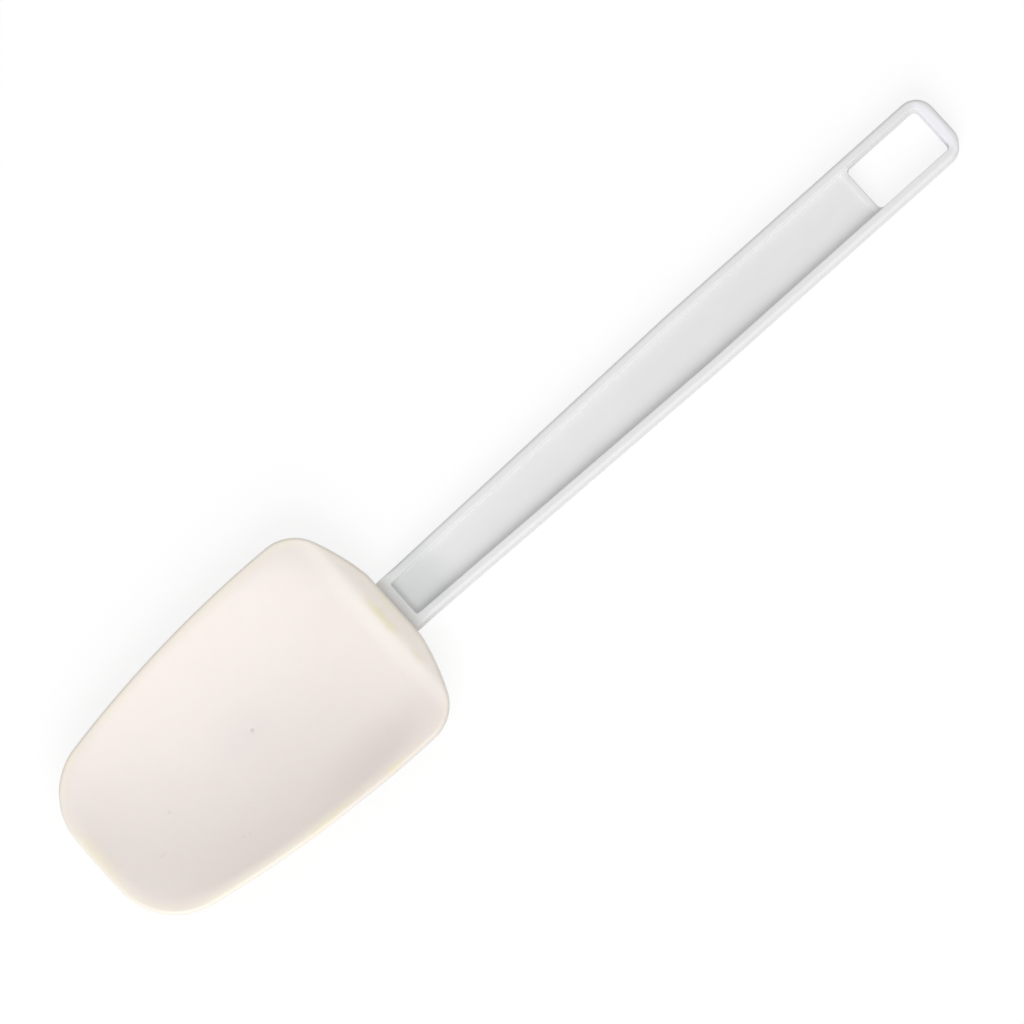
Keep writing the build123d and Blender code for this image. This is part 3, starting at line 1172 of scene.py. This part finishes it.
def clouding_group() -> Tree:
    """A slow, uneven tint, as in moulded resin and silicone.

    Formula: the weighted mean of two noises of the object's coordinates, one finer than the other, stepped
    softly between low and high. The colour is mixed towards the tint by that mask times the amount.

    Returns:
        The group: Colour, Tint, Amount, Scale and Stretch in, Colour and Mask out.
    """
    colours = {"Colour": (1, 1, 1, 1), "Tint": (0.5, 0.5, 0.5, 1)}
    inputs = {**colours, "Amount": 0.2, "Scale": 60.0, "Stretch": (1, 1, 1)}
    wiring, ports = start_group("clouding", inputs, Colour=COLOUR, Mask=FLOAT)
    finer, slow_share, low, high = 4.0, 0.7, 0.36, 0.66
    place = wiring.vector("MULTIPLY", wiring.object_place(), ports["Stretch"])
    slow = wiring.noise(place, ports["Scale"], detail=3.0, roughness=0.55)
    fine = wiring.noise(place, wiring.math("MULTIPLY", ports["Scale"], finer), detail=4.0, roughness=0.6)
    slow_part = wiring.math("MULTIPLY", slow, slow_share)
    mean = wiring.math("ADD", slow_part, wiring.math("MULTIPLY", fine, 1 - slow_share))
    mask = wiring.ramp(mean, low, high)
    colour = wiring.mix(wiring.math("MULTIPLY", mask, ports["Amount"]), ports["Colour"], ports["Tint"])
    return wiring.give(Colour=colour, Mask=mask)


def skin_group() -> Tree:
    """The fine surface that a mould leaves, as a normal.

    Formula: a fine noise and a slow one of the object's coordinates, added and used as the height of a bump.

    Returns:
        The group: Scale, Depth, Waviness and Stretch in, Normal out.
    """
    inputs = {"Scale": 2500.0, "Depth": 0.00001, "Waviness": 0.3, "Stretch": (1, 1, 1)}
    wiring, ports = start_group("mould_skin", inputs, Normal=VECTOR)
    slower, wave_height, detail = 0.05, 20.0, 2.0
    coords = wiring.object_place()
    place = wiring.vector("MULTIPLY", coords, ports["Stretch"])
    fine = wiring.noise(coords, ports["Scale"], detail)
    slow = wiring.noise(place, wiring.math("MULTIPLY", ports["Scale"], slower), detail)
    waves = wiring.math("MULTIPLY", wiring.math("MULTIPLY", slow, ports["Waviness"]), wave_height)
    height = wiring.math("ADD", fine, waves)
    bump = wiring.node("Bump", Strength=1.0, Distance=ports["Depth"], Height=height)
    return wiring.give(Normal=bump.outputs[0])


def spot_group() -> Tree:
    """A soft, ragged spot on the surface, seen from above.

    Formula: the distance from a place, with each axis divided by the spot's half size along it, plus a little
    noise about its mean of a half, stepped softly from 1 inside to 0 outside.

    Returns:
        The group: Place, Size, Softness, Grain and Ragged in, Mask out.
    """
    vectors = {"Place": (0, 0, 0), "Size": (0.001, 0.001, 1)}
    inputs = {**vectors, "Softness": 0.5, "Grain": 900.0, "Ragged": 0.5}
    wiring, ports = start_group("spot", inputs, Mask=FLOAT)
    coords = wiring.object_place()
    away = wiring.vector("SUBTRACT", wiring.vector("MULTIPLY", coords, (1, 1, 0)), ports["Place"])
    scaled = wiring.vector("DIVIDE", away, ports["Size"])
    gap = wiring.node("VectorMath", {"operation": "LENGTH"}, scaled).outputs["Value"]
    swing = wiring.math("SUBTRACT", wiring.noise(coords, ports["Grain"], detail=3.0), 0.5)
    ragged = wiring.math("MULTIPLY_ADD", swing, ports["Ragged"], gap)
    inside = wiring.math("SUBTRACT", 1.0, ports["Softness"])
    outside = wiring.math("ADD", 1.0, ports["Softness"])
    return wiring.give(Mask=wiring.ramp(ragged, inside, outside, 1.0, 0.0))


@dataclass(frozen=True)
class Groups:
    """The shader groups that both finishes use."""

    clouding: Tree = field(default_factory=clouding_group)
    skin: Tree = field(default_factory=skin_group)
    spot: Tree = field(default_factory=spot_group)


@dataclass(frozen=True)
class Spot:
    """A mark, or a patch of painted shade or painted highlight: its colour, its middle and half sizes in
    millimetres, and how strong, soft and ragged it is.

    Its grain is the scale, per metre, of the noise that makes its edge ragged.
    """

    tone: Colour
    x: float
    y: float
    half_x: float
    half_y: float
    strength: float
    softness: float = 0.5
    grain: float = 900.0
    ragged: float = 0.3

    def lay(self, wiring: Wiring, spot: Tree, colour: Socket) -> Socket:
        """Lays the mark over a colour.

        Args:
            wiring: The material's wiring.
            spot: The group for spots.
            colour: The colour under it.

        Returns:
            The colour with the mark.
        """
        place = (self.x * MM, self.y * MM, 0)
        size = (self.half_x * MM, self.half_y * MM, 1)
        look = {"Softness": self.softness, "Grain": self.grain, "Ragged": self.ragged}
        mask = wiring.group(spot, Place=place, Size=size, **look)["Mask"]
        return wiring.mix(wiring.math("MULTIPLY", mask, self.strength), colour, self.tone)


@dataclass(frozen=True)
class Stain(Spot):
    """A blotchy mark with a very ragged edge."""

    softness: float = 0.7
    grain: float = 420.0
    ragged: float = 1.2


@dataclass(frozen=True)
class Finish:
    """A moulded material: a clouded colour with marks, a fine skin, and light that goes a little way in.

    The skin's depth and the light's reach are in metres and the scales per metre, as the shader takes them.
    """

    name: str
    colour: Colour
    tint: Colour
    tint_amount: float
    cloud_scale: float
    skin_scale: float
    skin_depth: float
    waviness: float
    translucency: float
    reach_ratios: Triple
    reach: float
    spots: tuple[Spot, ...]
    cloud_stretch: Triple = (1, 1, 1)
    skin_stretch: Triple = (1, 1, 1)
    roughness: float = 0.5
    roughness_swing: float = 0.0
    specular: float = 0.5

    def tone(self, wiring: Wiring, groups: Groups, colour: Socket) -> Socket:
        """The colour under the marks: here the clouded colour as it is."""
        return colour

    def build(self, groups: Groups) -> bpy.types.Material:
        """Builds the material.

        Args:
            groups: The shader groups.

        Returns:
            The material.
        """
        material, wiring = new_material(self.name)
        tints = {"Colour": self.colour, "Tint": self.tint, "Amount": self.tint_amount}
        cloud = wiring.group(groups.clouding, Scale=self.cloud_scale, Stretch=self.cloud_stretch, **tints)
        colour = self.tone(wiring, groups, cloud["Colour"])
        for spot in self.spots:
            colour = spot.lay(wiring, groups.spot, colour)
        roughness = self.roughness
        if self.roughness_swing:
            lowest = self.roughness - self.roughness_swing / 2
            roughness = wiring.math("MULTIPLY_ADD", cloud["Mask"], self.roughness_swing, lowest)
        bumps = {"Depth": self.skin_depth, "Waviness": self.waviness}
        skin = wiring.group(groups.skin, Scale=self.skin_scale, Stretch=self.skin_stretch, **bumps)
        shader = wiring.node(
            "BsdfPrincipled",
            Base_Color=colour,
            Roughness=roughness,
            Normal=skin["Normal"],
            Specular_IOR_Level=self.specular,
            Subsurface_Weight=self.translucency,
            Subsurface_Radius=self.reach_ratios,
            Subsurface_Scale=self.reach,
        )
        wiring.node("OutputMaterial", Surface=shader.outputs[0])
        return material


def new_material(name: str) -> tuple[bpy.types.Material, Wiring]:
    """Starts a material.

    Args:
        name: Its name.

    Returns:
        The material with no nodes, and its wiring.
    """
    material = bpy.data.materials.new(name)
    material.use_nodes = True
    material.node_tree.nodes.clear()
    return material, Wiring(material.node_tree)


YELLOWED = (0.84, 0.78, 0.50, 1)
# painted shade: darkens the bowl's -Y side towards its rear corner
PAINTED_SHADE = (0.76, 0.68, 0.65, 1)
# painted highlight: a lighter band along the blade's crest
PAINTED_CREST_HIGHLIGHT = (0.96, 0.905, 0.85, 1)
HALO = (0.78, 0.72, 0.76, 1)
SPECK = (0.45, 0.38, 0.40, 1)
# painted highlight: a pale lilac lightening of the handle's end rim
PAINTED_END_HIGHLIGHT = (0.92, 0.91, 0.97, 1)
# painted shadow: a greenish grey darkening where the blade's shadow falls on the handle
PAINTED_COLLAR_SHADOW = (0.62, 0.65, 0.635, 1)


@dataclass(frozen=True)
class SiliconeFinish(Finish):
    """Satin ivory silicone: a little light passes through it, and it has yellowed faintly along its edges.
    Its colour also holds painted light: painted shade on the bowl's -Y side, a painted highlight along the
    crest, and a lip that is lightened as a painted highlight.
    """

    name: str = "ivory_silicone"
    colour: Colour = (0.865, 0.807, 0.766, 1)
    tint: Colour = (0.85, 0.775, 0.70, 1)
    tint_amount: float = 0.25
    cloud_scale: float = 45.0
    skin_scale: float = 2600.0
    skin_depth: float = 0.000007
    waviness: float = 0.4
    translucency: float = 0.18
    reach_ratios: Triple = (1.0, 0.75, 0.55)
    reach: float = 0.0025
    # the lip's yellowing, made lighter as well as a painted highlight
    lip_yellowing_and_highlight: Colour = (0.90, 0.84, 0.73, 1)
    lip_patch_scale: float = 110.0
    lip_least: float = 0.4
    lip_patches: float = 0.5
    spots: tuple[Spot, ...] = (
        # painted shade on the bowl's -Y side, towards its rear corner
        Spot(PAINTED_SHADE, -59.0, -24.2, 15.0, 6.2, 0.6, softness=0.95, grain=120.0),
        # painted highlight along the blade's crest
        Spot(PAINTED_CREST_HIGHLIGHT, -43.6, 1.0, 2.4, 27.0, 0.8, softness=0.95, grain=200.0, ragged=0.2),
        Spot(HALO, -83.0, 1.1, 8.0, 4.5, 0.22, softness=0.95, grain=250.0),
        Stain(YELLOWED, -42.4, -0.9, 0.95, 5.4, 0.55),
        Stain(YELLOWED, -42.4, -12.4, 0.9, 1.6, 0.3),
        Stain(YELLOWED, -39.6, 0.4, 0.5, 3.4, 0.25),
        Stain(YELLOWED, -125.2, 1.1, 1.2, 5.9, 0.2),
        Stain(YELLOWED, -62.8, -27.9, 2.4, 0.8, 0.45),
        Stain(YELLOWED, -80.0, -26.9, 8.0, 0.8, 0.3, ragged=1.4),
        Spot(SPECK, -81.0, 0.65, 0.45, 0.45, 0.35),
        Spot(SPECK, -107.1, -1.0, 0.35, 0.35, 0.2),
        Spot(SPECK, -96.8, -17.0, 0.3, 0.25, 0.14),
        Spot(SPECK, -98.4, -16.6, 0.3, 0.25, 0.14),
        Spot(SPECK, -114.6, -7.6, 0.9, 0.3, 0.12, grain=1500.0, ragged=1.0),
    )

    def tone(self, wiring: Wiring, groups: Groups, colour: Socket) -> Socket:
        """Tones the lip in uneven patches: a yellowing, which also lightens it as a painted highlight.

        Formula: the lip's own mask, times a slow noise's mask scaled to a least share and upwards.

        Args:
            wiring: The material's wiring.
            groups: The shader groups.
            colour: The clouded colour.

        Returns:
            The colour with the toned lip.
        """
        lip = wiring.node("Attribute", {"attribute_name": "lip"}).outputs["Fac"]
        patches = wiring.group(groups.clouding, Amount=1.0, Scale=self.lip_patch_scale)["Mask"]
        share = wiring.math("MULTIPLY_ADD", patches, self.lip_patches, self.lip_least)
        return wiring.mix(wiring.math("MULTIPLY", lip, share), colour, self.lip_yellowing_and_highlight)


@dataclass(frozen=True)
class PlasticFinish(Finish):
    """Semi-gloss white moulded plastic, with faint flow marks and a clouded web. Its colour also holds a
    painted shadow next to the seam and a painted highlight on the end rim by the hanging eye.
    """

    name: str = "white_plastic"
    colour: Colour = (0.81, 0.81, 0.81, 1)
    tint: Colour = (0.73, 0.74, 0.735, 1)
    tint_amount: float = 0.3
    cloud_scale: float = 70.0
    cloud_stretch: Triple = (0.35, 1, 1)
    skin_scale: float = 1500.0
    skin_depth: float = 0.000004
    waviness: float = 1.0
    skin_stretch: Triple = (0.3, 1, 1)
    roughness_swing: float = 0.08
    specular: float = 0.3
    translucency: float = 0.12
    reach_ratios: Triple = (1.0, 1.0, 1.0)
    reach: float = 0.0015
    spots: tuple[Spot, ...] = (
        # painted shadow of the blade on the handle next to the seam
        Spot(PAINTED_COLLAR_SHADOW, -30.0, 1.0, 5.5, 7.0, 0.6, softness=0.9, grain=200.0),
        # painted highlight on the handle's end rim by the hanging eye
        Spot(PAINTED_END_HIGHLIGHT, 124.6, 0.0, 1.3, 7.0, 0.9, softness=0.3, grain=500.0),
    )


# The stage


@dataclass(frozen=True)
class Stage:
    """The floor, the lamp and the camera."""

    lean_along: float = 2.39
    lean_across: float = 8.75
    view_distance: float = 2000.0
    photo_side: float = 1024.0
    object_turn: float = 42.236
    pixel: float = 0.2247
    aim: Triple = (-4.88, -1.975, 8.0)
    sensor_width: float = 36.0
    far_clip: float = 20.0
    key_from: Triple = (-0.66, -0.9, 1.0)
    key_distance: float = 3000.0
    key_size: float = 2300.0
    key_watts: float = 56.5
    fill: float = 0.605
    floor_size: float = 3000.0
    floor_colour: float = 0.7
    seen_floor_colour: float = 0.2
    seen_floor_glow: float = 0.815

    def camera(self) -> None:
        """Makes the camera: nearly overhead, leaning towards the blade and towards -Y."""
        lean_x, lean_y = sin(radians(self.lean_along)), sin(radians(self.lean_across))
        back = Vector((-lean_x, -lean_y, sqrt(1 - lean_x**2 - lean_y**2)))
        turn = radians(self.object_turn)
        right = Vector((cos(turn), -sin(turn), 0))
        right = (right - back * right.dot(back)).normalized()
        rotation = Matrix((right, back.cross(right), back)).transposed().to_4x4()
        place = (Vector(self.aim) + back * self.view_distance) * MM
        lens = bpy.data.cameras.new("photo_camera")
        lens.sensor_width = self.sensor_width
        lens.sensor_fit = "HORIZONTAL"
        lens.lens = self.sensor_width * self.view_distance / (self.pixel * self.photo_side)
        lens.clip_end = self.far_clip
        camera = new_object("photo_camera", lens)
        camera.matrix_world = Matrix.Translation(place) @ rotation
        bpy.context.scene.camera = camera

    def key_lamp(self) -> None:
        """Makes the large, soft lamp that points at the object."""
        light = bpy.data.lights.new("key", "AREA")
        light.size = self.key_size * MM
        light.energy = self.key_watts
        place = Vector(self.key_from).normalized() * self.key_distance * MM
        rotation = place.to_track_quat("Z", "Y").to_matrix().to_4x4()
        new_object("key", light).matrix_world = Matrix.Translation(place) @ rotation

    def seen(self, wiring: Wiring) -> Socket:
        """1 for the rays that show the background.

        Args:
            wiring: The wiring of the floor's material or of the world.

        Returns:
            1 straight to the camera, by reflection and through glass, and 0 otherwise.
        """
        path = wiring.node("LightPath").outputs
        straight = wiring.math("MAXIMUM", path["Is Camera Ray"], path["Is Transmission Ray"])
        return wiring.math("MAXIMUM", straight, path["Is Glossy Ray"])

    def world(self) -> None:
        """Makes the world: a soft fill light, and plain white to the camera and in reflections."""
        world = bpy.data.worlds.new("studio")
        bpy.context.scene.world = world
        world.use_nodes = True
        wiring = Wiring(world.node_tree)
        back = world.node_tree.nodes["Background"].inputs
        wiring.feed(back["Color"], (1, 1, 1, 1))
        strength = wiring.math("MULTIPLY_ADD", self.seen(wiring), 1 - self.fill, self.fill)
        wiring.feed(back["Strength"], strength)

    def floor(self) -> None:
        """Makes the floor, which looks plain white and still takes the object's soft shadow."""
        mesh = bpy.data.meshes.new("floor")
        half = self.floor_size / 2 * MM
        corners = [(-half, -half, 0), (half, -half, 0), (half, half, 0), (-half, half, 0)]
        mesh.from_pydata(corners, [], [(0, 1, 2, 3)])
        material, wiring = new_material("white_floor")
        seen = self.seen(wiring)
        plain, shown = ((value, value, value, 1) for value in (self.floor_colour, self.seen_floor_colour))
        matt = wiring.node("BsdfDiffuse", Color=wiring.mix(seen, plain, shown)).outputs[0]
        strength = wiring.math("MULTIPLY", seen, self.seen_floor_glow)
        glow = wiring.node("Emission", Color=(1, 1, 1, 1), Strength=strength).outputs[0]
        wiring.node("OutputMaterial", Surface=wiring.node("AddShader", None, matt, glow).outputs[0])
        mesh.materials.append(material)
        floor = new_object("floor", mesh)

    def build(self) -> None:
        """Sets the plain view and makes everything."""
        bpy.context.scene.view_settings.view_transform = "Standard"
        self.camera()
        self.key_lamp()
        self.world()
        self.floor()


def main() -> None:
    """Builds the pieces and the stage."""
    logging.basicConfig(level=logging.INFO, format="%(message)s")
    groups = Groups()
    blade_low, blade_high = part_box("silicone_blade")
    handle_low, handle_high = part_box("moulded_handle")
    blade = SiliconeBlade(
        tip_x=blade_low.x / MM,
        seam_x=blade_high.x / MM,
        width=(blade_high.y - blade_low.y) / MM,
        rim_height=blade_high.z / MM,
    )
    piece = blade.build()
    piece.data.materials.append(SiliconeFinish().build(groups))
    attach(piece, Body.BLADE.value)
    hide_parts("silicone_blade")

    handle = MouldedHandle(
        seam_x=blade_high.x / MM,
        end_x=handle_high.x / MM,
        width=(handle_high.y - handle_low.y) / MM,
        thickness=handle_high.z / MM,
    )
    piece = handle.build()
    piece.data.materials.append(PlasticFinish().build(groups))
    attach(piece, Body.HANDLE.value)
    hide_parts("moulded_handle")

    Stage().build()


if __name__ == "__main__":
    main()
